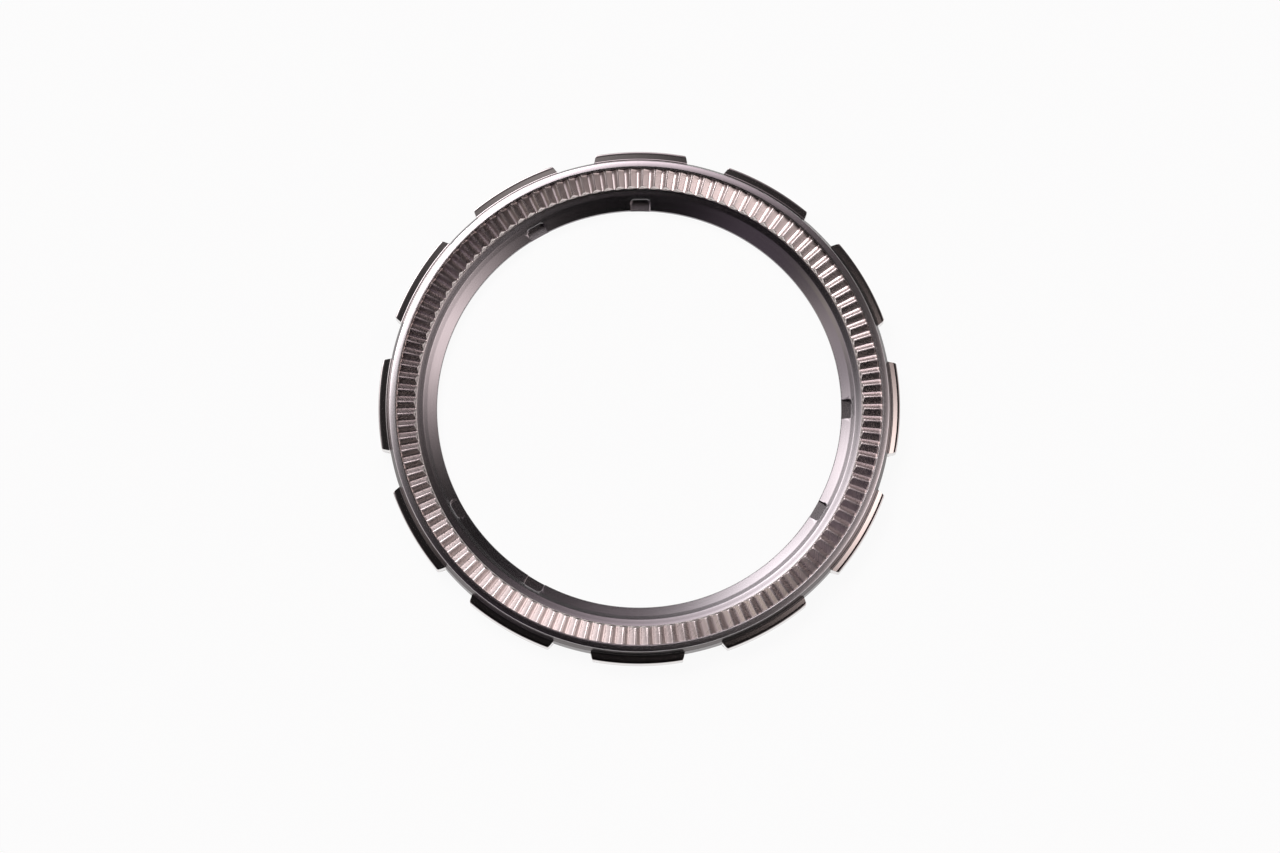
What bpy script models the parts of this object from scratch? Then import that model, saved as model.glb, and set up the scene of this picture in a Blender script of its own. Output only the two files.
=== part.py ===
"""Retaining ring with twelve outer lugs and a recessed band of face teeth.

One turned and milled steel piece. The back face lies on z = 0 and the ring's axis is the Z axis. The first
lug stands on +Y. Seen from the toothed side, each tooth has its short flank facing counter-clockwise and its
long flank facing clockwise. Run with: blender --background --python part.py
"""
import math

import bmesh
import bpy
from mathutils import Matrix

MM = 0.001

# Bore and the steps around it, as widths counted outwards from the bore
BORE_RADIUS = 15.90 * MM
BORE_EDGE = 0.05 * MM
SEAT_WIDTH = 0.71 * MM
SHOULDER_WIDTH = 0.32 * MM
COLLAR_WIDTH = 0.50 * MM
FLOOR_EDGE = 0.07 * MM
TOOTH_LENGTH = 1.52 * MM
RIM_EDGE = 0.12 * MM
RIM_FACE_WIDTH = 0.43 * MM
RIM_LEAN = 0.18 * MM
ROOT_FILLET = 0.12 * MM
ROOT_DEPTH = 0.05 * MM
LUG_REACH = 0.65 * MM

# Heights: the rim's face above the back, and how far each face lies below the one before it
RING_HEIGHT = 2.00 * MM
RIM_FALL = 0.07 * MM
LANDS_BELOW_RIM = 0.40 * MM
TOOTH_HEIGHT = 0.32 * MM
FLOOR_ABOVE_COLLAR = 0.08 * MM
SHOULDER_DROP = 0.30 * MM
SEAT_DROP = 0.34 * MM
LUG_HEIGHT = 1.35 * MM
LUG_EDGE = 0.10 * MM
BACK_OUTER_EDGE = 0.15 * MM
BACK_BORE_EDGE = 0.20 * MM

# Face teeth: widths at the middle of their length, and their share of the flanks
TEETH = 120
LAND_WIDTH = 0.145 * MM
GROOVE_FLOOR_WIDTH = 0.155 * MM
SHORT_FLANK_SHARE = 0.35
TOOTH_END_SLOPE = 0.13 * MM
TOOTH_FLARE_LENGTH = 0.16 * MM
TOOTH_FLARE_WIDTH = 0.065 * MM
TOOTH_SINK = 0.06 * MM
TOOTH_BURY = 0.12 * MM
TEETH_TURN = 0.50

# Lugs and the gaps milled between them
LUGS = 12
LUG_ROOT_ANGLE = 21.4
LUG_RAKE = 0.6
LUG_CORNER = 0.09 * MM
GAP_STEPS = 6

# Blind pockets in the seat, in pairs around the bore
POCKET_ANGLES = (0.0, 90.0, 120.0, 210.0, 240.0, 330.0)
POCKET_WIDTH = 1.55 * MM
POCKET_FLOOR = 0.25 * MM
POCKET_OVER_SHOULDER = 0.06 * MM
POCKET_CORNER = 0.30 * MM
CORNER_STEPS = 4

CUT_CLEARANCE = 0.50 * MM
SMOOTH_ANGLE = 30.0

# Radii and heights that follow from the sizes above
SEAT_INNER = BORE_RADIUS + BORE_EDGE
SEAT_OUTER = SEAT_INNER + SEAT_WIDTH
COLLAR_INNER = SEAT_OUTER + SHOULDER_WIDTH
COLLAR_OUTER = COLLAR_INNER + COLLAR_WIDTH
TEETH_INNER = COLLAR_OUTER + FLOOR_EDGE
TEETH_OUTER = TEETH_INNER + TOOTH_LENGTH
RIM_FACE_INNER = TEETH_OUTER + RIM_EDGE
RIM_FACE_OUTER = RIM_FACE_INNER + RIM_FACE_WIDTH
RIM_FOOT = RIM_FACE_OUTER + RIM_LEAN
ROOT_RADIUS = RIM_FOOT + ROOT_DEPTH
LUG_TIP = ROOT_RADIUS + LUG_REACH

LANDS = RING_HEIGHT - LANDS_BELOW_RIM
FLOOR = LANDS - TOOTH_HEIGHT
COLLAR = FLOOR - FLOOR_ABOVE_COLLAR
SEAT_TOP = COLLAR - SHOULDER_DROP
SEAT_LOW = SEAT_TOP - SEAT_DROP
PITCH = 2 * math.pi / TEETH


def clear_scene():
    for item in list(bpy.data.objects):
        bpy.data.objects.remove(item)


def make_collection(name):
    group = bpy.data.collections.new(name)
    bpy.context.scene.collection.children.link(group)
    return group


def steel(name):
    """Turned steel with a slightly warm grey."""
    material = bpy.data.materials.new(name)
    material.use_nodes = True
    shader = material.node_tree.nodes["Principled BSDF"]
    shader.inputs["Base Color"].default_value = (0.50, 0.47, 0.46, 1.0)
    shader.inputs["Metallic"].default_value = 1.0
    shader.inputs["Roughness"].default_value = 0.22
    return material


def arc(center, radius, start, end, steps):
    """Points on an arc, both ends included, with angles in degrees."""
    points = []
    for step in range(steps + 1):
        angle = math.radians(start + (end - start) * step / steps)
        points.append((center[0] + radius * math.cos(angle), center[1] + radius * math.sin(angle)))
    return points


def ring_section():
    """Radius and height of the turned section, down the outside, under the back, up the bore and out again."""
    outside = [(RIM_FACE_OUTER, RING_HEIGHT - RIM_FALL)]
    fillet = arc((RIM_FOOT + ROOT_FILLET, LUG_HEIGHT + ROOT_FILLET), ROOT_FILLET, 180, 270, 3)
    outside += fillet
    outside += arc((LUG_TIP - LUG_EDGE, LUG_HEIGHT - LUG_EDGE), LUG_EDGE, 90, 0, 2)
    back = [
        (LUG_TIP, BACK_OUTER_EDGE),
        (LUG_TIP - BACK_OUTER_EDGE, 0.0),
        (BORE_RADIUS + BACK_BORE_EDGE, 0.0),
    ]
    bore = [
        (BORE_RADIUS, BACK_BORE_EDGE),
        (BORE_RADIUS, SEAT_LOW - BORE_EDGE),
        (SEAT_INNER, SEAT_LOW),
    ]
    face = [
        (SEAT_OUTER, SEAT_TOP),
        (COLLAR_INNER, COLLAR),
        (COLLAR_OUTER, COLLAR),
        (TEETH_INNER, FLOOR),
        (TEETH_OUTER, FLOOR),
    ]
    rim = arc((RIM_FACE_INNER, RING_HEIGHT - RIM_EDGE), RIM_EDGE, 180, 90, 2)
    return outside + back + bore + face + rim


def turned_ring(group):
    """The section turned about Z, with one flat to each tooth and its seams in the middle of the grooves."""
    section = ring_section()
    mesh = bpy.data.meshes.new("retaining_ring")
    points = [(radius, 0.0, height) for radius, height in section]
    edges = [(i, (i + 1) % len(points)) for i in range(len(points))]
    mesh.from_pydata(points, edges, [])
    ring = bpy.data.objects.new("retaining_ring", mesh)
    group.objects.link(ring)
    ring.rotation_euler.z = land_angle(0) + groove_middle()
    turn = ring.modifiers.new("turn", "SCREW")
    turn.axis = "Z"
    turn.angle = 2 * math.pi
    turn.steps = TEETH
    turn.render_steps = TEETH
    turn.use_merge_vertices = True
    turn.merge_threshold = 0.000001
    return ring


def land_angle(index):
    """Direction of a tooth's land, counter-clockwise from +X."""
    return math.radians(90.0 - TEETH_TURN) - index * PITCH


def flank_angles():
    """How far the short and the long flank spread in plan, as angles about the ring's axis."""
    middle = TEETH_INNER + TOOTH_LENGTH / 2
    spread = PITCH - (LAND_WIDTH + GROOVE_FLOOR_WIDTH) / middle
    short = spread * SHORT_FLANK_SHARE
    return short, spread - short


def groove_middle():
    """Angle from a land to the middle of the groove on its counter-clockwise side."""
    middle = TEETH_INNER + TOOTH_LENGTH / 2
    return (LAND_WIDTH + GROOVE_FLOOR_WIDTH) / middle / 2 + flank_angles()[0]


def lay_ridge_corner(corner, turn):
    """Move one corner of a cube cut in three stations to its place on a tooth.

    x tells the station (-1 inner end, 0 start of the flare, 1 outer end), y the side (-1 clockwise),
    z the level (-1 under the groove floor, 1 on the land).
    """
    station, side, level = (round(value) for value in corner)
    below_land = 0.0 if level > 0 else TOOTH_HEIGHT + TOOTH_SINK
    share = below_land / TOOTH_HEIGHT
    if station < 0:
        radius = TEETH_INNER + TOOTH_END_SLOPE * (1.0 - share)
    elif station == 0:
        radius = TEETH_OUTER - TOOTH_FLARE_LENGTH
    else:
        radius = TEETH_OUTER + TOOTH_BURY
    short, long = flank_angles()
    middle = TEETH_INNER + TOOTH_LENGTH / 2
    angle = side * LAND_WIDTH / middle / 2
    angle += share * (short if side > 0 else -long)
    if station > 0:
        reach = (TOOTH_FLARE_LENGTH + TOOTH_BURY) / TOOTH_FLARE_LENGTH
        angle += side * TOOTH_FLARE_WIDTH * reach / radius
    return Matrix.Rotation(turn + angle, 3, "Z") @ corner.__class__((radius, 0.0, LANDS - below_land))


def tooth_ridges(group):
    """All the teeth as tapered ridges that stand on the groove floor and run into the rim."""
    ridges = bmesh.new()
    for index in range(TEETH):
        made = bmesh.ops.create_cube(ridges, size=2.0)
        parts = list({part for corner in made["verts"] for part in (corner, *corner.link_edges, *corner.link_faces)})
        cut = bmesh.ops.bisect_plane(ridges, geom=parts, plane_co=(0, 0, 0), plane_no=(1, 0, 0))
        corners = set(made["verts"]) | {part for part in cut["geom_cut"] if isinstance(part, bmesh.types.BMVert)}
        for corner in corners:
            corner.co = lay_ridge_corner(corner.co, land_angle(index))
    return as_tool(ridges, "tooth_ridges", group)


def flat_blank(outline, low, high):
    """Closed mesh of a flat outline drawn in plan, from one height to another."""
    curve = bpy.data.curves.new("outline", "CURVE")
    curve.dimensions = "2D"
    curve.fill_mode = "BOTH"
    curve.extrude = (high - low) / 2
    spline = curve.splines.new("POLY")
    spline.points.add(len(outline) - 1)
    for point, (x, y) in zip(spline.points, outline):
        point.co = (x, y, 0.0, 1.0)
    spline.use_cyclic_u = True
    drawn = bpy.data.objects.new("outline", curve)
    drawn.location.z = (low + high) / 2
    bpy.context.scene.collection.objects.link(drawn)
    bpy.context.view_layer.update()
    mesh = bpy.data.meshes.new_from_object(drawn.evaluated_get(bpy.context.evaluated_depsgraph_get()))
    mesh.transform(drawn.matrix_world)
    bpy.data.objects.remove(drawn)
    return mesh


def repeat_about_axis(mesh, angles):
    """Copies of a mesh turned about Z, with their loose caps welded on."""
    whole = bmesh.new()
    for angle in angles:
        copy = mesh.copy()
        copy.transform(Matrix.Rotation(angle, 4, "Z"))
        whole.from_mesh(copy)
        bpy.data.meshes.remove(copy)
    bmesh.ops.remove_doubles(whole, verts=whole.verts, dist=0.000001)
    bmesh.ops.recalc_face_normals(whole, faces=whole.faces)
    return whole


def as_tool(shape, name, group):
    """Object that joins or cuts the ring and isn't part of it."""
    mesh = bpy.data.meshes.new(name)
    shape.to_mesh(mesh)
    shape.free()
    tool = bpy.data.objects.new(name, mesh)
    group.objects.link(tool)
    tool.hide_render = True
    tool.display_type = "WIRE"
    return tool


def lug_gaps(group):
    """The gaps between lugs: a round floor at the root, raked sides and eased outer corners."""
    root_half = 180.0 / LUGS - LUG_ROOT_ANGLE / 2
    tip_half = root_half + LUG_RAKE
    reach = LUG_TIP + CUT_CLEARANCE
    eased = tip_half + math.degrees((LUG_CORNER + CUT_CLEARANCE) / reach)
    outline = arc((0, 0), ROOT_RADIUS, -root_half, root_half, GAP_STEPS)
    for radius, angle in ((LUG_TIP - LUG_CORNER, tip_half), (reach, eased)):
        outline.append(arc((0, 0), radius, angle, angle, 1)[0])
    for radius, angle in ((reach, -eased), (LUG_TIP - LUG_CORNER, -tip_half)):
        outline.append(arc((0, 0), radius, angle, angle, 1)[0])
    blank = flat_blank(outline, -CUT_CLEARANCE, RING_HEIGHT + CUT_CLEARANCE)
    step = 2 * math.pi / LUGS
    gaps = repeat_about_axis(blank, [(index + 0.5) * step + math.pi / 2 for index in range(LUGS)])
    bpy.data.meshes.remove(blank)
    return as_tool(gaps, "lug_gaps", group)


def seat_pockets(group):
    """Blind pockets that open to the bore, with a flat floor and rounded outer corners."""
    end = SEAT_OUTER + POCKET_OVER_SHOULDER
    side = POCKET_WIDTH / 2
    start = BORE_RADIUS - CUT_CLEARANCE
    outline = [(start, -side)]
    outline += arc((end - POCKET_CORNER, POCKET_CORNER - side), POCKET_CORNER, -90, 0, CORNER_STEPS)
    outline += arc((end - POCKET_CORNER, side - POCKET_CORNER), POCKET_CORNER, 0, 90, CORNER_STEPS)
    outline.append((start, side))
    blank = flat_blank(outline, POCKET_FLOOR, RING_HEIGHT + CUT_CLEARANCE)
    pockets = repeat_about_axis(blank, [math.radians(90.0 - angle) for angle in POCKET_ANGLES])
    bpy.data.meshes.remove(blank)
    return as_tool(pockets, "seat_pockets", group)


def combine(body, tool, operation):
    step = body.modifiers.new(tool.name, "BOOLEAN")
    step.operation = operation
    step.solver = "EXACT"
    step.object = tool


def finish(body, material):
    """Keep the finished shape as the object's own mesh, smooth over its round faces."""
    bpy.context.view_layer.update()
    mesh = bpy.data.meshes.new_from_object(body.evaluated_get(bpy.context.evaluated_depsgraph_get()))
    mesh.name = body.name
    body.modifiers.clear()
    body.data = mesh
    mesh.materials.clear()
    mesh.materials.append(material)
    mesh.shade_smooth()
    mesh.set_sharp_from_angle(angle=math.radians(SMOOTH_ANGLE))


def main():
    clear_scene()
    parts = make_collection("retaining_ring")
    tools = make_collection("cutters")
    ring = turned_ring(parts)
    combine(ring, tooth_ridges(tools), "UNION")
    combine(ring, lug_gaps(tools), "DIFFERENCE")
    combine(ring, seat_pockets(tools), "DIFFERENCE")
    finish(ring, steel("turned_steel"))


main()
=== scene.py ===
"""Looks of the retaining ring: a turned steel ring with twelve lugs and a recessed band of face teeth.

Two cells are drawn in code, one tooth pitch wide and one lug wide. Geometry nodes turn their copies about
the ring's axis, weld them into one closed surface, sink the pockets and give each zone its material, whose
roughness and marks are real and whose colour is painted light or shade. All sizes are in metres, the back
face lies on z = 0 and the first lug stands on +Y.
"""
import math

import bmesh
import bpy
from mathutils import Matrix, Quaternion, Vector


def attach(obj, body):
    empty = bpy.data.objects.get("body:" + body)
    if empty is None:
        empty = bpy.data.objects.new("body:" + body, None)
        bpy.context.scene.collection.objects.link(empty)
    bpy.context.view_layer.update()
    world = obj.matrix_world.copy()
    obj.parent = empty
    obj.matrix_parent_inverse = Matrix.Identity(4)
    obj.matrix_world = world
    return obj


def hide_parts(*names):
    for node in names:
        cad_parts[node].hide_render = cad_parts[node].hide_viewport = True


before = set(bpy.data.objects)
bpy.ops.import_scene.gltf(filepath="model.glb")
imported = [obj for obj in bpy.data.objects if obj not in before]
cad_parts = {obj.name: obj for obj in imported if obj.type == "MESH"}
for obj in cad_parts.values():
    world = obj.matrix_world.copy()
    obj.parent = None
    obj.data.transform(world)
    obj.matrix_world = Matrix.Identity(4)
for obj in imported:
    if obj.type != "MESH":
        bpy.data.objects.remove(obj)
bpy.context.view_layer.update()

MM = 0.001

# Bore and the steps around it, as widths counted outwards from the bore
BORE_RADIUS = 15.90 * MM
BORE_EDGE = 0.05 * MM
SEAT_WIDTH = 0.71 * MM
SHOULDER_WIDTH = 0.32 * MM
COLLAR_WIDTH = 0.50 * MM
FLOOR_EDGE = 0.07 * MM
TOOTH_LENGTH = 1.52 * MM
RIM_EDGE = 0.12 * MM
RIM_FACE_WIDTH = 0.43 * MM
RIM_LEAN = 0.18 * MM
ROOT_DEPTH = 0.05 * MM
LUG_REACH = 0.65 * MM

# Heights: the rim's face above the back, and how far each face lies below the one before it
RING_HEIGHT = 2.00 * MM
RIM_FALL = 0.07 * MM
LANDS_BELOW_RIM = 0.40 * MM
TOOTH_HEIGHT = 0.32 * MM
FLOOR_ABOVE_COLLAR = 0.08 * MM
COLLAR_FALL = 0.08 * MM
SHOULDER_DROP = 0.30 * MM
SEAT_DROP = 0.34 * MM
LUG_HEIGHT = 1.35 * MM
BACK_BORE_EDGE = 0.20 * MM
BACK_OUTER_EDGE = 0.15 * MM
BACK_ROOT_EDGE = 0.03 * MM

# Face teeth, with widths at the middle of their length and their turn in degrees
TEETH = 120
TEETH_TURN = 0.50
LAND_WIDTH = 0.145 * MM
GROOVE_FLOOR_WIDTH = 0.155 * MM
GROOVE_TILT = 0.035 * MM
SHORT_FLANK_SHARE = 0.35
TOOTH_END_SLOPE = 0.13 * MM
LEAST_END_SHARE = 0.25
TOOTH_FLARE_LENGTH = 0.16 * MM
TOOTH_FLARE_WIDTH = 0.065 * MM
FLARE_STEPS = (0.0, 0.5, 0.78)

# Lugs, with angles in degrees
LUGS = 12
LUG_ROOT_HALF = 10.7
LUG_RAKE = 0.6
LUG_CORNER = 0.09 * MM
LUG_CORNER_ZONE = 0.20 * MM
LUG_CORNER_BEND = 0.29
LUG_TOP_STEPS = 13
LUG_GAP_STEPS = 3

# Blind pockets in the seat, at two neighbours out of every four lug places
POCKET_PLACES = 4
POCKETS_IN_PLACES = 2
POCKET_HALF_WIDTH = 0.775 * MM
POCKET_OVER_SHOULDER = 0.06 * MM
POCKET_OVERRUN = 0.50 * MM
POCKET_FLOOR = 0.25 * MM
POCKET_CORNER = 0.30 * MM
POCKET_CORNER_STEPS = 8
POCKET_FOOT = 0.06 * MM
POCKET_FOOT_BEND = (-0.30, 0.30)
POCKET_MOUTH = 0.04 * MM
POCKET_MOUTH_BEND = (0.25, -0.30)

# Roundings, each counted from its corner along both sides
BACK_ROUNDING = 0.03 * MM
BORE_ROUNDING = 0.02 * MM
SEAT_ROUNDING = 0.05 * MM
COLLAR_ROUNDING = 0.03 * MM
TOOTH_FOOT_ROUNDING = 0.012 * MM
TOOTH_END_ROUNDING = 0.035 * MM
LAND_ROUNDING = 0.045 * MM
GROOVE_ROUNDING = 0.050 * MM
WALL_FOOT_ROUNDING = 0.025 * MM
RIM_ROUNDING = 0.035 * MM
ROOT_FILLET = 0.12 * MM
LUG_EDGE = 0.10 * MM
LUG_SIDE_EDGE = 0.022 * MM
LUG_FLAT_MARGIN = 0.04 * MM
MOST_OF_HALF = 0.48

# Circle in the rim's face, and below it on the back, where the two cells meet
SEAM_FROM_FACE_EDGE = 0.24 * MM
WELD = 0.0004 * MM

# Shading: the angle in degrees past which an edge is sharp, and how much a large face counts
SMOOTH_ANGLE = 33.0
LARGE_FACE_WEIGHT = 80

# Finishes of the bare steel, and how far off an edge they change. The colours are painted light and shade on
# one
# steel: near black on the walls beside the rim's face, darker on the turned faces round the bore, lighter on
# the lugs and lighter still, pinkish, on the teeth and the rim's face. The spread and the turn are the
# highlight's, with the turn in full turns. The marks' depth is in millimetres.
FINISHES_AND_PAINTED_LIGHT = {
    "Turned": dict(color=(0.38, 0.36, 0.37), roughness=0.22, spread=0.90, turn=0.25, marks=0.0006),
    "Ground": dict(color=(0.80, 0.72, 0.70), roughness=0.28, spread=0.75, turn=0.0, marks=0.0),
    "Rim": dict(color=(0.82, 0.78, 0.79), roughness=0.19, spread=0.90, turn=0.25, marks=0.0006),
    "Wall": dict(color=(0.17, 0.155, 0.155), roughness=0.22, spread=0.90, turn=0.25, marks=0.0006),
    "Faced": dict(color=(0.66, 0.62, 0.61), roughness=0.055, spread=0.30, turn=0.25, marks=0.0),
}
BAND_MARGIN = 0.01 * MM
RIM_MARGIN = 0.03 * MM
LUG_MARGIN = 0.02 * MM
BACK_MARGIN = 0.01 * MM
MARKS_PER_MM = 12.0
MARK_WANDER = 0.10
CLOUDS_PER_MM = 0.35
LEAST_ROUGHNESS = 0.75
MARK_ROUGHNESS = 0.30
CLOUD_ROUGHNESS = 0.20

# Camera, with its sensor and lens in millimetres and its angles in degrees
SENSOR_WIDTH = 36.0
LENS = 196.8
CAMERA_DISTANCE = 0.551
CAMERA_RISE = 79.0
CAMERA_ROLL = 0.4
CAMERA_AIM = (0.07 * MM, -1.57 * MM, 1.0 * MM)
CAMERA_RANGE = (0.01, 10.0)

# Studio: the slopes of a direction between which the white horizon fades, and the floor
HORIZON_WHITE = 0.05
HORIZON_GONE = 0.12
FLOOR_GAP = 0.01 * MM
FLOOR_RADIUS = 3.0
FLOOR_SIDES = 64
FLOOR_PAINT = (0.9, 0.9, 0.9, 1.0)
FLOOR_GLOW = 0.93
WHITE = (1.0, 1.0, 1.0, 1.0)

# Radii and heights that follow from the sizes above
SEAT_INNER = BORE_RADIUS + BORE_EDGE
SEAT_OUTER = SEAT_INNER + SEAT_WIDTH
COLLAR_INNER = SEAT_OUTER + SHOULDER_WIDTH
COLLAR_OUTER = COLLAR_INNER + COLLAR_WIDTH
COLLAR_MIDDLE = (COLLAR_INNER + COLLAR_OUTER) / 2
TEETH_INNER = COLLAR_OUTER + FLOOR_EDGE
TEETH_OUTER = TEETH_INNER + TOOTH_LENGTH
RIM_FACE_INNER = TEETH_OUTER + RIM_EDGE
RIM_FACE_OUTER = RIM_FACE_INNER + RIM_FACE_WIDTH
RIM_FOOT = RIM_FACE_OUTER + RIM_LEAN
ROOT_RADIUS = RIM_FOOT + ROOT_DEPTH
LUG_TIP = ROOT_RADIUS + LUG_REACH
POCKET_END = SEAT_OUTER + POCKET_OVER_SHOULDER
SEAM_RADIUS = RIM_FACE_INNER + SEAM_FROM_FACE_EDGE

LANDS = RING_HEIGHT - LANDS_BELOW_RIM
FLOOR = LANDS - TOOTH_HEIGHT
COLLAR = FLOOR - FLOOR_ABOVE_COLLAR
SEAT_TOP = COLLAR - SHOULDER_DROP
SEAT_LOW = SEAT_TOP - SEAT_DROP

# The seam between two tooth cells lies in the middle of a groove, as an angle counter-clockwise from +X
TOOTH_MIDDLE = (TEETH_INNER + TEETH_OUTER) / 2
PITCH = 2 * math.pi * TOOTH_MIDDLE / TEETH
SHORT_FLANK = (PITCH - LAND_WIDTH - GROOVE_FLOOR_WIDTH) * SHORT_FLANK_SHARE
SEAM_SIDE = LAND_WIDTH / 2 + SHORT_FLANK + GROOVE_FLOOR_WIDTH / 2
TOOTH_TURN = math.radians(90.0 - TEETH_TURN)
SEAM_TURN = TOOTH_TURN + SEAM_SIDE / TOOTH_MIDDLE

# The fillet between the rim's outside and a lug's top, and its angle in degrees at the root's radius
FILLET_RADIUS = RIM_FOOT + ROOT_FILLET
FILLET_HEIGHT = LUG_HEIGHT + ROOT_FILLET
ROOT_ANGLE = 180.0 + math.degrees(math.acos((FILLET_RADIUS - ROOT_RADIUS) / ROOT_FILLET))


def toward(corner, other, distance):
    """Point that lies a distance from a corner on the way to another one, and never past the middle."""
    whole = math.dist(corner, other)
    share = min(distance / whole, MOST_OF_HALF) if whole > 0 else 0.0
    return tuple(a + (b - a) * share for a, b in zip(corner, other))


def sharp(radius, height):
    """Corner of a line that eased leaves as it is."""
    return radius, height, 0.0, 0


def eased(corners):
    """Line through (radius, height, cut, steps) corners, where each is rounded over its cut on both sides."""
    places = [corner[:2] for corner in corners]
    line = [places[0]]
    for before, corner, after, (_, _, cut, steps) in zip(places, places[1:], places[2:], corners[1:]):
        if steps == 0:
            line.append(corner)
            continue
        start, end = toward(corner, before, cut), toward(corner, after, cut)
        for step in range(steps + 1):
            t = step / steps
            weights = (1 - t) ** 2, 2 * t * (1 - t), t * t
            parts = list(zip(weights, (start, corner, end)))
            line.append(tuple(sum(weight * point[axis] for weight, point in parts) for axis in (0, 1)))
    line.append(places[-1])
    return line


def place(radius, turn, height):
    """Point at a radius, at an angle in radians counter-clockwise from +X."""
    return Vector((radius * math.cos(turn), radius * math.sin(turn), height))


def lay_row(cell, radius, height, turns):
    """New corners at one radius and height, one for each angle."""
    return [cell.verts.new(place(radius, turn, height)) for turn in turns]


def lay_strips(cell, rows):
    """Faces between rows that all have the same number of corners."""
    for first, second in zip(rows, rows[1:]):
        for a, b, c, d in zip(first, first[1:], second[1:], second):
            cell.faces.new((a, b, c, d))


def zip_strip(cell, first, second):
    """Triangles between two rows that cover the same angle with different numbers of corners."""
    def share(row, index):
        start, end = (math.atan2(row[i].co.y, row[i].co.x) for i in (0, -1))
        return (start - math.atan2(row[index].co.y, row[index].co.x)) / (start - end)

    i = j = 0
    while i < len(first) - 1 or j < len(second) - 1:
        forward = j == len(second) - 1 or (i < len(first) - 1 and share(first, i + 1) <= share(second, j + 1))
        if forward:
            cell.faces.new((first[i], first[i + 1], second[j]))
            i += 1
        else:
            cell.faces.new((first[i], second[j + 1], second[j]))
            j += 1


def rim_height(radius):
    """Height of the rim's face, which falls a little to the outside."""
    return RING_HEIGHT - RIM_FALL * (radius - RIM_FACE_INNER) / (RIM_FACE_OUTER - RIM_FACE_INNER)


def tooth_columns():
    """Places across one pitch, the counter-clockwise side first, with the tooth's rise at each."""
    half = LAND_WIDTH / 2
    long_foot = SEAM_SIDE - PITCH + GROOVE_FLOOR_WIDTH / 2
    return eased([
        sharp(SEAM_SIDE, 0.0),
        (half + SHORT_FLANK, GROOVE_TILT, GROOVE_ROUNDING, 2),
        (half, TOOTH_HEIGHT, LAND_ROUNDING, 3),
        (-half, TOOTH_HEIGHT, LAND_ROUNDING, 3),
        (long_foot, -GROOVE_TILT, GROOVE_ROUNDING, 2),
        sharp(SEAM_SIDE - PITCH, 0.0),
    ])


def flare(side, radius):
    """Shift of a tooth's side where the groove ends in rounded corners at the rim."""
    way = (radius - TEETH_OUTER + TOOTH_FLARE_LENGTH) / TOOTH_FLARE_LENGTH
    way = min(max(way, 0.0), 1.0)
    reach = TOOTH_FLARE_WIDTH * (1 - math.sqrt(1 - way * way))
    room = SEAM_SIDE - side if side > 0 else side - SEAM_SIDE + PITCH
    return math.copysign(reach * min(1.0, room / (GROOVE_FLOOR_WIDTH / 2)), side)


def tooth_line(rise):
    """Line over the tooth band, from the collar to the rim's face, where the tooth has this rise."""
    top = FLOOR + rise
    share = max(rise / TOOTH_HEIGHT, 0.0)
    end = TEETH_INNER + TOOTH_END_SLOPE * max(share, LEAST_END_SHARE)
    flare_start = TEETH_OUTER - TOOTH_FLARE_LENGTH
    return eased([
        sharp(COLLAR_MIDDLE, COLLAR - COLLAR_FALL / 2),
        (COLLAR_OUTER, COLLAR, COLLAR_ROUNDING, 2),
        (TEETH_INNER, FLOOR, TOOTH_FOOT_ROUNDING, 1),
        (end, top, TOOTH_FOOT_ROUNDING + TOOTH_END_ROUNDING * share, 3),
        *(sharp(flare_start + step * TOOTH_FLARE_LENGTH, top) for step in FLARE_STEPS),
        (TEETH_OUTER, top, WALL_FOOT_ROUNDING, 2),
        (TEETH_OUTER, rim_height(TEETH_OUTER), RIM_EDGE, 4),
        sharp(SEAM_RADIUS, rim_height(SEAM_RADIUS)),
    ])[1:-1]


def bore_line():
    """Line from the seam on the back up the bore and over the seat to the middle of the collar."""
    return eased([
        sharp(SEAM_RADIUS, 0.0),
        (BORE_RADIUS + BACK_BORE_EDGE, 0.0, BACK_ROUNDING, 2),
        (BORE_RADIUS, BACK_BORE_EDGE, BACK_ROUNDING, 2),
        (BORE_RADIUS, SEAT_LOW - BORE_EDGE, BORE_ROUNDING, 2),
        (SEAT_INNER, SEAT_LOW, BORE_ROUNDING, 2),
        (SEAT_OUTER, SEAT_TOP, SEAT_ROUNDING, 3),
        (COLLAR_INNER, COLLAR - COLLAR_FALL, SEAT_ROUNDING, 3),
        sharp(COLLAR_MIDDLE, COLLAR - COLLAR_FALL / 2),
    ])


def tooth_cell():
    """One pitch of the ring from the back, up the bore, over the seat and one tooth to the rim's face."""
    cell = bmesh.new()
    turns = [SEAM_TURN - index * math.pi / TEETH for index in range(3)]
    rows = [lay_row(cell, radius, height, turns) for radius, height in bore_line()]
    lay_strips(cell, rows)
    lines = []
    for side, rise in tooth_columns():
        lines.append([
            cell.verts.new(place(radius, TOOTH_TURN + (side + flare(side, radius)) / TOOTH_MIDDLE, height))
            for radius, height in tooth_line(rise)
        ])
    band = list(zip(*lines))
    lay_strips(cell, band)
    zip_strip(cell, rows[-1], band[0])
    zip_strip(cell, band[-1], lay_row(cell, SEAM_RADIUS, rim_height(SEAM_RADIUS), turns))
    return cell


def on_fillet(angle):
    """Sharp corner on the fillet between the rim's outside and a lug's top."""
    bend = math.radians(angle)
    return sharp(FILLET_RADIUS + ROOT_FILLET * math.cos(bend), FILLET_HEIGHT + ROOT_FILLET * math.sin(bend))


def rim_outside():
    """Line from the rim's face down its outside to the root."""
    return eased([
        sharp(SEAM_RADIUS, rim_height(SEAM_RADIUS)),
        (RIM_FACE_OUTER, rim_height(RIM_FACE_OUTER), RIM_ROUNDING, 3),
        on_fillet(180.0),
        on_fillet((180.0 + ROOT_ANGLE) / 2),
        on_fillet(ROOT_ANGLE),
    ])[1:]


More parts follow.
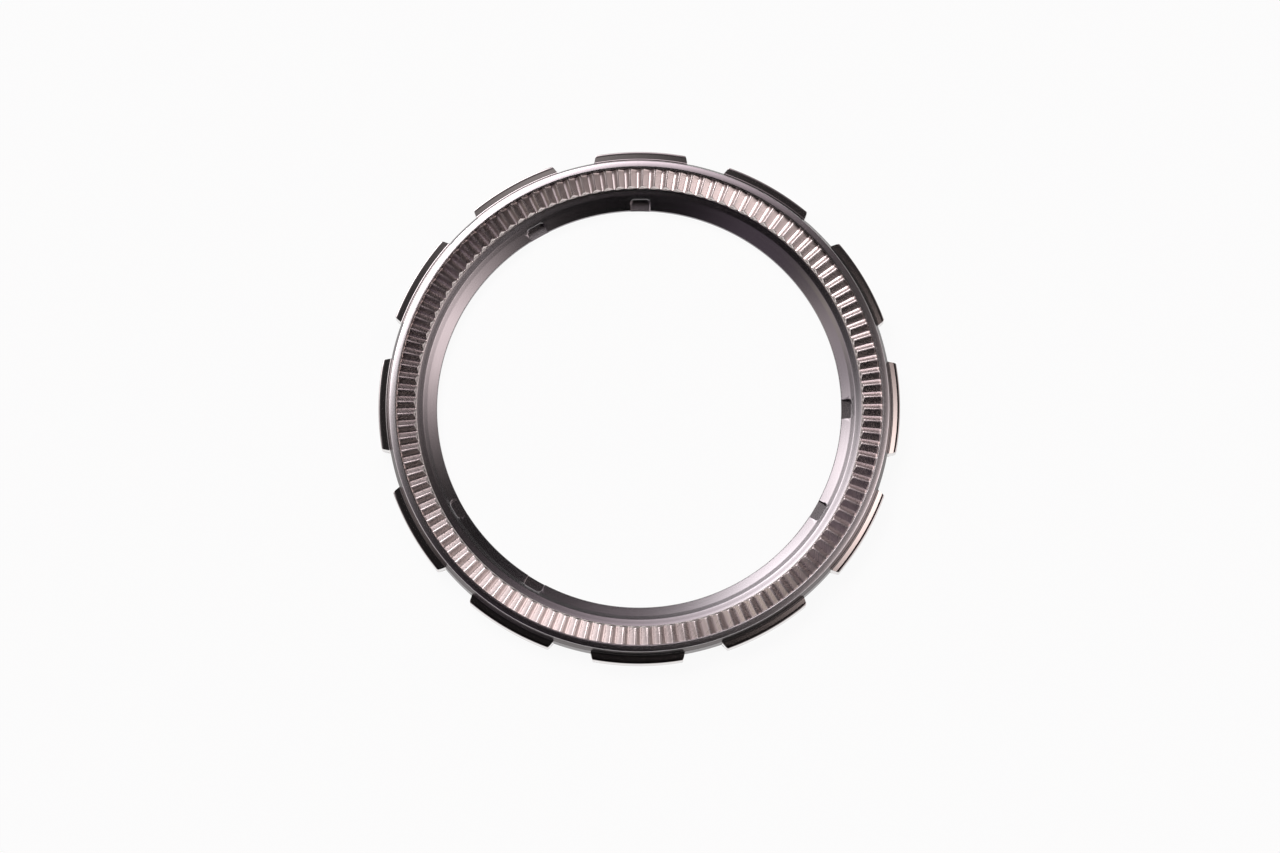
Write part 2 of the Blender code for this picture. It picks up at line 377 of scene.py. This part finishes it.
def lug_outside():
    """Line from a lug's root over its top, down its tip and in along the back."""
    return eased([
        on_fillet(ROOT_ANGLE),
        on_fillet((270.0 + ROOT_ANGLE) / 2),
        on_fillet(270.0),
        sharp(FILLET_RADIUS + LUG_FLAT_MARGIN, LUG_HEIGHT),
        sharp(LUG_TIP - LUG_EDGE - LUG_CORNER - LUG_FLAT_MARGIN, LUG_HEIGHT),
        (LUG_TIP, LUG_HEIGHT, LUG_EDGE, 4),
        (LUG_TIP, BACK_OUTER_EDGE, BACK_ROUNDING, 1),
        (LUG_TIP - BACK_OUTER_EDGE, 0.0, BACK_ROUNDING, 1),
        sharp(ROOT_RADIUS - BACK_ROOT_EDGE, 0.0),
    ])[1:]


def lug_columns(start, end):
    """Angles of the lug cell's lines in degrees, and which of them run along the lug's two sides."""
    left, right = 90.0 + LUG_ROOT_HALF, 90.0 - LUG_ROOT_HALF
    inset = math.degrees(LUG_CORNER / LUG_TIP)
    first, last = left - inset, right + inset
    gap_left = [start + (left - start) * i / LUG_GAP_STEPS for i in range(LUG_GAP_STEPS)]
    gap_right = [right + (end - right) * i / LUG_GAP_STEPS for i in range(1, LUG_GAP_STEPS + 1)]
    top = [left, left - LUG_CORNER_BEND * inset]
    top += [first + (last - first) * i / LUG_TOP_STEPS for i in range(LUG_TOP_STEPS)]
    top += [last, right + LUG_CORNER_BEND * inset, right]
    return gap_left + top + gap_right, len(gap_left), len(gap_left) + len(top) - 1


def lug_rows(cell, root, turns):
    """Rows of one lug from its root to the back, with its two outer corners rounded and its sides raked."""
    cuts = [0.0] * len(turns)
    cuts[0] = cuts[-1] = LUG_CORNER
    cuts[1] = cuts[-2] = LUG_CORNER * LUG_CORNER_BEND
    rows = [root]
    for radius, height in lug_outside():
        row = []
        for turn, cut in zip(turns, cuts):
            reach = radius - cut if radius > LUG_TIP - LUG_CORNER_ZONE else radius
            lean = LUG_RAKE * max(reach - ROOT_RADIUS, 0.0) / (LUG_TIP - LUG_CORNER - ROOT_RADIUS)
            turn = 90.0 + (turn - 90.0) * (1 - lean / LUG_ROOT_HALF)
            row.append(cell.verts.new(place(reach, math.radians(turn), height)))
        rows.append(row)
    lay_strips(cell, rows)
    return rows


def gap_rows(cell, root, turns, corners):
    """Rows of the gap beside a lug from the root to the back, where it takes over the lug's own corners."""
    foot = lay_row(cell, ROOT_RADIUS, BACK_ROOT_EDGE, map(math.radians, turns))
    back = []
    for turn in turns:
        corner = corners.get(turn)
        if corner is None:
            corner = cell.verts.new(place(ROOT_RADIUS - BACK_ROOT_EDGE, math.radians(turn), 0.0))
        back.append(corner)
    lay_strips(cell, [root, foot, back])
    return foot, back


def lug_cell():
    """One twelfth of the outside, from the rim's face over the lug and the gap beside it to the back."""
    cell = bmesh.new()
    teeth = TEETH // LUGS
    pitch = 360.0 / TEETH
    start = math.degrees(SEAM_TURN) + teeth // 2 * pitch
    seam_turns = [math.radians(start - index * pitch / 2) for index in range(2 * teeth + 1)]
    turns, left, right = lug_columns(start, start - 360.0 / LUGS)
    rim = lay_row(cell, SEAM_RADIUS, rim_height(SEAM_RADIUS), seam_turns)
    rows = [lay_row(cell, radius, height, map(math.radians, turns)) for radius, height in rim_outside()]
    zip_strip(cell, rim, rows[0])
    lay_strips(cell, rows)

    root = rows[-1]
    lug = lug_rows(cell, root[left:right + 1], turns[left:right + 1])
    corners = {turns[left]: lug[-1][0], turns[right]: lug[-1][-1]}
    foot_before, back_before = gap_rows(cell, root[:left + 1], turns[:left + 1], corners)
    foot_after, back_after = gap_rows(cell, root[right:], turns[right:], corners)
    sides = [
        cell.faces.new([*(row[0] for row in lug), foot_before[-1]]),
        cell.faces.new([*(row[-1] for row in reversed(lug)), foot_after[0]]),
    ]
    zip_strip(cell, back_before + lug[-1][1:-1] + back_after, lay_row(cell, SEAM_RADIUS, 0.0, seam_turns))

    edges = [edge for side in sides for edge in side.edges]
    bmesh.ops.bevel(cell, geom=edges, offset=LUG_SIDE_EDGE, segments=2, profile=0.5, affect="EDGES")
    for corner in cell.verts:
        corner.co.z = max(corner.co.z, 0.0)
    return cell


def face_height(radius):
    """Height of the seat and the shoulder at a radius."""
    radius = max(radius, SEAT_INNER)
    if radius <= SEAT_OUTER:
        return SEAT_LOW + (SEAT_TOP - SEAT_LOW) * (radius - SEAT_INNER) / (SEAT_OUTER - SEAT_INNER)
    return SEAT_TOP + (COLLAR - COLLAR_FALL - SEAT_TOP) * (radius - SEAT_OUTER) / (COLLAR_INNER - SEAT_OUTER)


def pocket_outline(grow):
    """Plan of a pocket that opens to the bore along +X, grown by a margin on its sides and its end."""
    side, end, corner = POCKET_HALF_WIDTH + grow, POCKET_END + grow, POCKET_CORNER + grow
    inside = BORE_RADIUS - POCKET_OVERRUN
    outline = [(inside, -side)]
    for centre, first in ((corner - side, -90.0), (side - corner, 0.0)):
        for step in range(POCKET_CORNER_STEPS + 1):
            bend = math.radians(first + 90.0 * step / POCKET_CORNER_STEPS)
            outline.append((end - corner + corner * math.cos(bend), centre + corner * math.sin(bend)))
    outline.append((inside, side))
    return outline


def pocket_cutter():
    """Closed shape that sinks one pocket, with a rounded foot and a rounded mouth on the sloped seat."""
    cutter = bmesh.new()
    foot_middle = [POCKET_FOOT * share for share in POCKET_FOOT_BEND]
    mouth_middle = [POCKET_MOUTH * share for share in POCKET_MOUTH_BEND]
    foot = [(-POCKET_FOOT, 0.0), foot_middle, (0.0, POCKET_FOOT)]
    mouth = [(0.0, -POCKET_MOUTH), mouth_middle, (POCKET_MOUTH, 0.0)]
    rows = [[(x, y, POCKET_FLOOR + rise) for x, y in pocket_outline(grow)] for grow, rise in foot]
    rows += [
        [(x, y, face_height(math.hypot(x, y)) + rise) for x, y in pocket_outline(grow)] for grow, rise in mouth
    ]
    rows.append([(x, y, 2 * RING_HEIGHT) for x, y in pocket_outline(POCKET_MOUTH)])
    rows = [[cutter.verts.new(point) for point in row] for row in rows]
    lay_strips(cutter, [row + row[:1] for row in rows])
    cutter.faces.new(rows[0][::-1])
    cutter.faces.new(rows[-1])
    return cutter


def to_object(shape, name):
    """Object in the scene that carries a finished cell, cutter or plate."""
    mesh = bpy.data.meshes.new(name)
    shape.to_mesh(mesh)
    shape.free()
    item = bpy.data.objects.new(name, mesh)
    bpy.context.scene.collection.objects.link(item)
    return item


class Wire:
    """An output in a node tree that adds its Math nodes where it is used in a sum."""

    def __init__(self, board, socket):
        self.board = board
        self.socket = socket

    def __add__(self, other):
        return self.board.math("ADD", self, other)

    def __sub__(self, other):
        return self.board.math("SUBTRACT", self, other)

    def __rsub__(self, other):
        return self.board.math("SUBTRACT", other, self)

    def __mul__(self, other):
        return self.board.math("MULTIPLY", self, other)

    def __truediv__(self, other):
        return self.board.math("DIVIDE", self, other)

    def __lt__(self, other):
        return self.board.math("LESS_THAN", self, other)

    def __mod__(self, other):
        return self.board.math("MODULO", self, other)

    __radd__ = __add__
    __rmul__ = __mul__


class Board:
    """A node tree with one way to add any node."""

    def __init__(self, tree):
        self.tree = tree

    def add(self, kind, settings=(), sockets=(), out=0):
        """Add a node, set its settings, then its sockets by index or name, and hand back one output."""
        node = self.tree.nodes.new(kind)
        for name, value in dict(settings).items():
            setattr(node, name, value)
        for key, value in dict(sockets).items():
            if isinstance(value, Wire):
                self.tree.links.new(value.socket, node.inputs[key])
            else:
                node.inputs[key].default_value = value
        return Wire(self, node.outputs[out]) if node.outputs else node

    def math(self, operation, *values):
        """One Math node on wires or numbers."""
        return self.add("ShaderNodeMath", {"operation": operation}, enumerate(values))

    def split(self, vector):
        """The X, Y and Z of a vector."""
        node = self.add("ShaderNodeSeparateXYZ", (), {0: vector}).socket.node
        return [Wire(self, node.outputs[axis]) for axis in "XYZ"]


def fresh_board(owner):
    """Empty node tree of a material or a world."""
    owner.use_nodes = True
    owner.node_tree.nodes.clear()
    return Board(owner.node_tree)


def turned_copies(board, shape, count, chosen=True):
    """Copies of a shape, turned clockwise about the axis by equal steps."""
    points = board.add("GeometryNodePoints", (), {"Count": count})
    index = board.add("GeometryNodeInputIndex")
    turn = board.add("ShaderNodeCombineXYZ", (), {"Z": index * (-2 * math.pi) / count})
    geometry = board.add("GeometryNodeObjectInfo", (), {"Object": shape}, out="Geometry")
    placed = {"Points": points, "Instance": geometry, "Rotation": turn, "Selection": chosen}
    copies = board.add("GeometryNodeInstanceOnPoints", (), placed)
    return board.add("GeometryNodeRealizeInstances", (), {"Geometry": copies})


def ring_tree():
    """Geometry nodes that turn and weld the cells, sink three pairs of pockets and give each zone its
    material.
    """
    tree = bpy.data.node_groups.new("ring from cells", "GeometryNodeTree")
    sockets = {
        "Tooth Cell": "NodeSocketObject",
        "Lug Cell": "NodeSocketObject",
        "Pocket Cutter": "NodeSocketObject",
        "Teeth": "NodeSocketInt",
        "Lugs": "NodeSocketInt",
        "Weld Distance": "NodeSocketFloat",
        "Tooth Band Start": "NodeSocketFloat",
        "Tooth Band End": "NodeSocketFloat",
        "Rim Face": "NodeSocketFloat",
        "Rim Edge": "NodeSocketFloat",
        "Lug Root": "NodeSocketFloat",
        "Back Height": "NodeSocketFloat",
        "Turned": "NodeSocketMaterial",
        "Rim": "NodeSocketMaterial",
        "Wall": "NodeSocketMaterial",
        "Ground": "NodeSocketMaterial",
        "Faced": "NodeSocketMaterial",
    }
    for name, kind in sockets.items():
        tree.interface.new_socket(name, in_out="INPUT", socket_type=kind)
    tree.interface.new_socket("Geometry", in_out="OUTPUT", socket_type="NodeSocketGeometry")
    board = Board(tree)
    entry = board.add("NodeGroupInput").socket.node
    given = {name: Wire(board, entry.outputs[name]) for name in sockets}

    joined = board.add("GeometryNodeJoinGeometry")
    for shape, count in (("Lug Cell", "Lugs"), ("Tooth Cell", "Teeth")):
        copies = turned_copies(board, given[shape], given[count])
        tree.links.new(copies.socket, joined.socket.node.inputs[0])
    welded = {"Geometry": joined, "Distance": given["Weld Distance"]}
    ring = board.add("GeometryNodeMergeByDistance", (), welded)
    index = board.add("GeometryNodeInputIndex")
    chosen = index % POCKET_PLACES < POCKETS_IN_PLACES - 0.5
    pockets = turned_copies(board, given["Pocket Cutter"], given["Lugs"], chosen)
    cut = {"operation": "DIFFERENCE", "solver": "MANIFOLD"}
    ring = board.add("GeometryNodeMeshBoolean", cut, {"Mesh 1": ring, "Mesh 2": pockets})

    x, y, z = board.split(board.add("GeometryNodeInputPosition"))
    radius = board.math("SQRT", x * x + y * y)
    in_front = given["Back Height"] < z
    # Every zone's colour is painted light or shade: darker on the turned faces, near black on the walls beside
    # the rim's face, lighter on the teeth, the rim's face and the lugs.
    ring = board.add("GeometryNodeSetMaterial", (), {"Geometry": ring, "Material": given["Turned"]})
    starts = [
        ("Ground", "Tooth Band Start"),
        ("Wall", "Tooth Band End"),
        ("Rim", "Rim Face"),
        ("Wall", "Rim Edge"),
        ("Faced", "Lug Root"),
    ]
    for finish_and_painted_light, start in starts:
        zone = {"Geometry": ring, "Selection": in_front * (given[start] < radius), "Material": given[finish_and_painted_light]}
        ring = board.add("GeometryNodeSetMaterial", (), zone)
    board.add("NodeGroupOutput", (), {0: ring})
    return tree


def bare_steel(name, color, roughness, spread, turn, marks):
    """Bright steel whose highlight is drawn out across the turning marks, or along them at a turn of zero."""
    material = bpy.data.materials.new(name)
    board = fresh_board(material)
    spot = board.add("ShaderNodeTexCoord", (), (), out="Object")
    x, y, z = (length / MM for length in board.split(spot))
    radius = board.math("SQRT", x * x + y * y)
    across = (radius + z) * MARKS_PER_MM
    line = board.add("ShaderNodeCombineXYZ", (), {"X": across, "Y": x * MARK_WANDER, "Z": y * MARK_WANDER})
    streaks = board.add("ShaderNodeTexNoise", (), {"Vector": line, "Scale": 1.0, "Detail": 2.0})
    clouds = board.add("ShaderNodeTexNoise", (), {"Vector": spot, "Scale": CLOUDS_PER_MM / MM, "Detail": 2.0})
    bump = board.add("ShaderNodeBump", (), {"Height": streaks, "Strength": 1.0, "Distance": marks * MM})
    uneven = LEAST_ROUGHNESS + streaks * MARK_ROUGHNESS + clouds * CLOUD_ROUGHNESS
    # The base colour handed in is a zone's painted light or shade on one steel.
    shader = board.add("ShaderNodeBsdfPrincipled", (), {
        "Base Color": (*color, 1.0),
        "Metallic": 1.0,
        "Roughness": roughness * uneven,
        "Anisotropic": spread,
        "Anisotropic Rotation": turn,
        "Normal": bump,
    })
    board.add("ShaderNodeOutputMaterial", (), {"Surface": shader})
    return material


def keep_result(piece):
    """Turn the result of a piece's modifiers into its plain mesh."""
    bpy.context.view_layer.update()
    mesh = bpy.data.meshes.new_from_object(piece.evaluated_get(bpy.context.evaluated_depsgraph_get()))
    piece.modifiers.clear()
    piece.data = mesh
    mesh.name = piece.name


def make_ring():
    """The finished ring as one plain mesh."""
    ring = bpy.data.objects.new("ring", bpy.data.meshes.new("ring"))
    bpy.context.scene.collection.objects.link(ring)
    helpers = {
        "Tooth Cell": to_object(tooth_cell(), "tooth cell"),
        "Lug Cell": to_object(lug_cell(), "lug cell"),
        "Pocket Cutter": to_object(pocket_cutter(), "pocket cutter"),
    }
    measures = {
        "Teeth": TEETH,
        "Lugs": LUGS,
        "Weld Distance": WELD,
        "Tooth Band Start": COLLAR_OUTER,
        "Tooth Band End": TEETH_OUTER - BAND_MARGIN,
        "Rim Face": RIM_FACE_INNER - RIM_MARGIN,
        "Rim Edge": RIM_FACE_OUTER + RIM_MARGIN,
        "Lug Root": ROOT_RADIUS + LUG_MARGIN,
        "Back Height": BACK_MARGIN,
    }
    # One material for each zone, its colour painted light or shade on one steel.
    finishes_and_painted_light = {zone: bare_steel(f"{zone.lower()} steel", **finish_and_painted_light) for zone, finish_and_painted_light in FINISHES_AND_PAINTED_LIGHT.items()}
    given = {**helpers, **measures, **finishes_and_painted_light}
    repeat = ring.modifiers.new("repeat", "NODES")
    repeat.node_group = ring_tree()
    for socket in repeat.node_group.interface.items_tree:
        if socket.in_out == "INPUT":
            repeat[socket.identifier] = given[socket.name]
    keep_result(ring)
    for helper in helpers.values():
        bpy.data.objects.remove(helper)

    ring.data.shade_smooth()
    ring.data.set_sharp_from_angle(angle=math.radians(SMOOTH_ANGLE))
    shading = ring.modifiers.new("flat faces stay flat", "WEIGHTED_NORMAL")
    shading.weight = LARGE_FACE_WEIGHT
    shading.keep_sharp = True
    keep_result(ring)
    return ring


def soft_lamp(board, way, turn, rise, spread, color):
    """Round soft lamp in the surroundings, at a clockwise angle from +Y and a rise above the floor."""
    turn, rise = math.radians(turn), math.radians(rise)
    aim = (math.sin(turn) * math.cos(rise), math.cos(turn) * math.cos(rise), math.sin(rise))
    near = board.add("ShaderNodeVectorMath", {"operation": "DOT_PRODUCT"}, {0: way, 1: aim}, out="Value")
    glow = board.math("EXPONENT", (near - 1.0) / math.radians(spread) ** 2)
    return board.add("ShaderNodeVectorMath", {"operation": "SCALE"}, {0: color, "Scale": glow})


def studio():
    """Surroundings of the ring: a white horizon, a dark ceiling and soft lamps in it."""
    world = bpy.data.worlds.new("studio")
    bpy.context.scene.world = world
    board = fresh_board(world)
    way = board.add("ShaderNodeTexCoord", (), (), out="Generated")
    _, _, slope = board.split(way)
    fade = {"Value": slope, "From Min": HORIZON_WHITE, "From Max": HORIZON_GONE, "To Min": 1.0, "To Max": 0.0}
    horizon = board.add("ShaderNodeMapRange", {"interpolation_type": "SMOOTHSTEP"}, fade)
    light = board.add("ShaderNodeVectorMath", {"operation": "SCALE"}, {0: WHITE[:3], "Scale": horizon})
    # Turn, rise and spread in degrees, and colour
    lamps = [
        (330.0, 42.0, 9.0, (6.2, 5.9, 6.1)),
        (300.0, 42.0, 9.0, (4.4, 4.1, 4.2)),
        (97.0, 42.0, 13.0, (2.5, 2.2, 2.2)),
        (320.0, 60.0, 6.5, (2.2, 2.1, 2.15)),
        (0.0, 50.0, 9.0, (1.4, 1.2, 1.3)),
        (265.0, 42.0, 9.0, (0.65, 0.57, 0.65)),
        (255.0, 25.0, 9.0, (0.6, 0.55, 0.45)),
        (225.0, 42.0, 11.0, (0.2, 0.16, 0.2)),
        (340.0, 57.0, 6.0, (0.6, 0.57, 0.58)),
        (10.5, 79.4, 0.5, (3.0, 2.55, 2.45)),
        (356.6, 77.2, 0.55, (0.45, 0.42, 0.42)),
    ]
    for turn, rise, spread, color in lamps:
        lamp = soft_lamp(board, way, turn, rise, spread, color)
        light = board.add("ShaderNodeVectorMath", {"operation": "ADD"}, {0: light, 1: lamp})
    glow = board.add("ShaderNodeBackground", (), {"Color": light, "Strength": 1.0})
    board.add("ShaderNodeOutputWorld", (), {"Surface": glow})


def make_floor():
    """Wide pale floor just under the ring, which glows where it is seen and still takes the ring's shadow."""
    shape = bmesh.new()
    bmesh.ops.create_circle(shape, cap_ends=True, segments=FLOOR_SIDES, radius=FLOOR_RADIUS)
    floor = to_object(shape, "floor")
    floor.data.transform(Matrix.Translation((0, 0, -FLOOR_GAP)))
    material = bpy.data.materials.new("pale floor")
    board = fresh_board(material)
    paths = board.add("ShaderNodeLightPath").socket.node
    rays = ("Is Camera Ray", "Is Glossy Ray", "Is Transmission Ray")
    seen = [Wire(board, paths.outputs[name]) for name in rays]
    shown = board.math("MINIMUM", seen[0] + seen[1] + seen[2], 1.0)
    paint = board.add("ShaderNodeBsdfDiffuse", (), {"Color": FLOOR_PAINT})
    glow = board.add("ShaderNodeEmission", (), {"Color": WHITE, "Strength": 1.0})
    mixed = board.add("ShaderNodeMixShader", (), {0: shown * FLOOR_GLOW, 1: paint, 2: glow})
    board.add("ShaderNodeOutputMaterial", (), {"Surface": mixed})
    floor.data.materials.append(material)


def make_camera():
    """Long lens over the near side of the ring, at the photograph's angle."""
    lens = bpy.data.cameras.new("camera")
    lens.sensor_width = SENSOR_WIDTH
    lens.lens = LENS
    lens.clip_start, lens.clip_end = CAMERA_RANGE
    camera = bpy.data.objects.new("camera", lens)
    bpy.context.scene.collection.objects.link(camera)
    rise = math.radians(CAMERA_RISE)
    camera.location = Vector((0.0, -CAMERA_DISTANCE * math.cos(rise), CAMERA_DISTANCE * math.sin(rise)))
    look = (Vector(CAMERA_AIM) - camera.location).to_track_quat("-Z", "Y")
    camera.rotation_mode = "QUATERNION"
    camera.rotation_quaternion = look @ Quaternion((0, 0, 1), math.radians(CAMERA_ROLL))
    bpy.context.scene.camera = camera


make_camera()
ring = make_ring()
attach(ring, "root")
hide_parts("retaining_ring")
studio()
make_floor()
bpy.context.scene.view_settings.view_transform = "Standard"
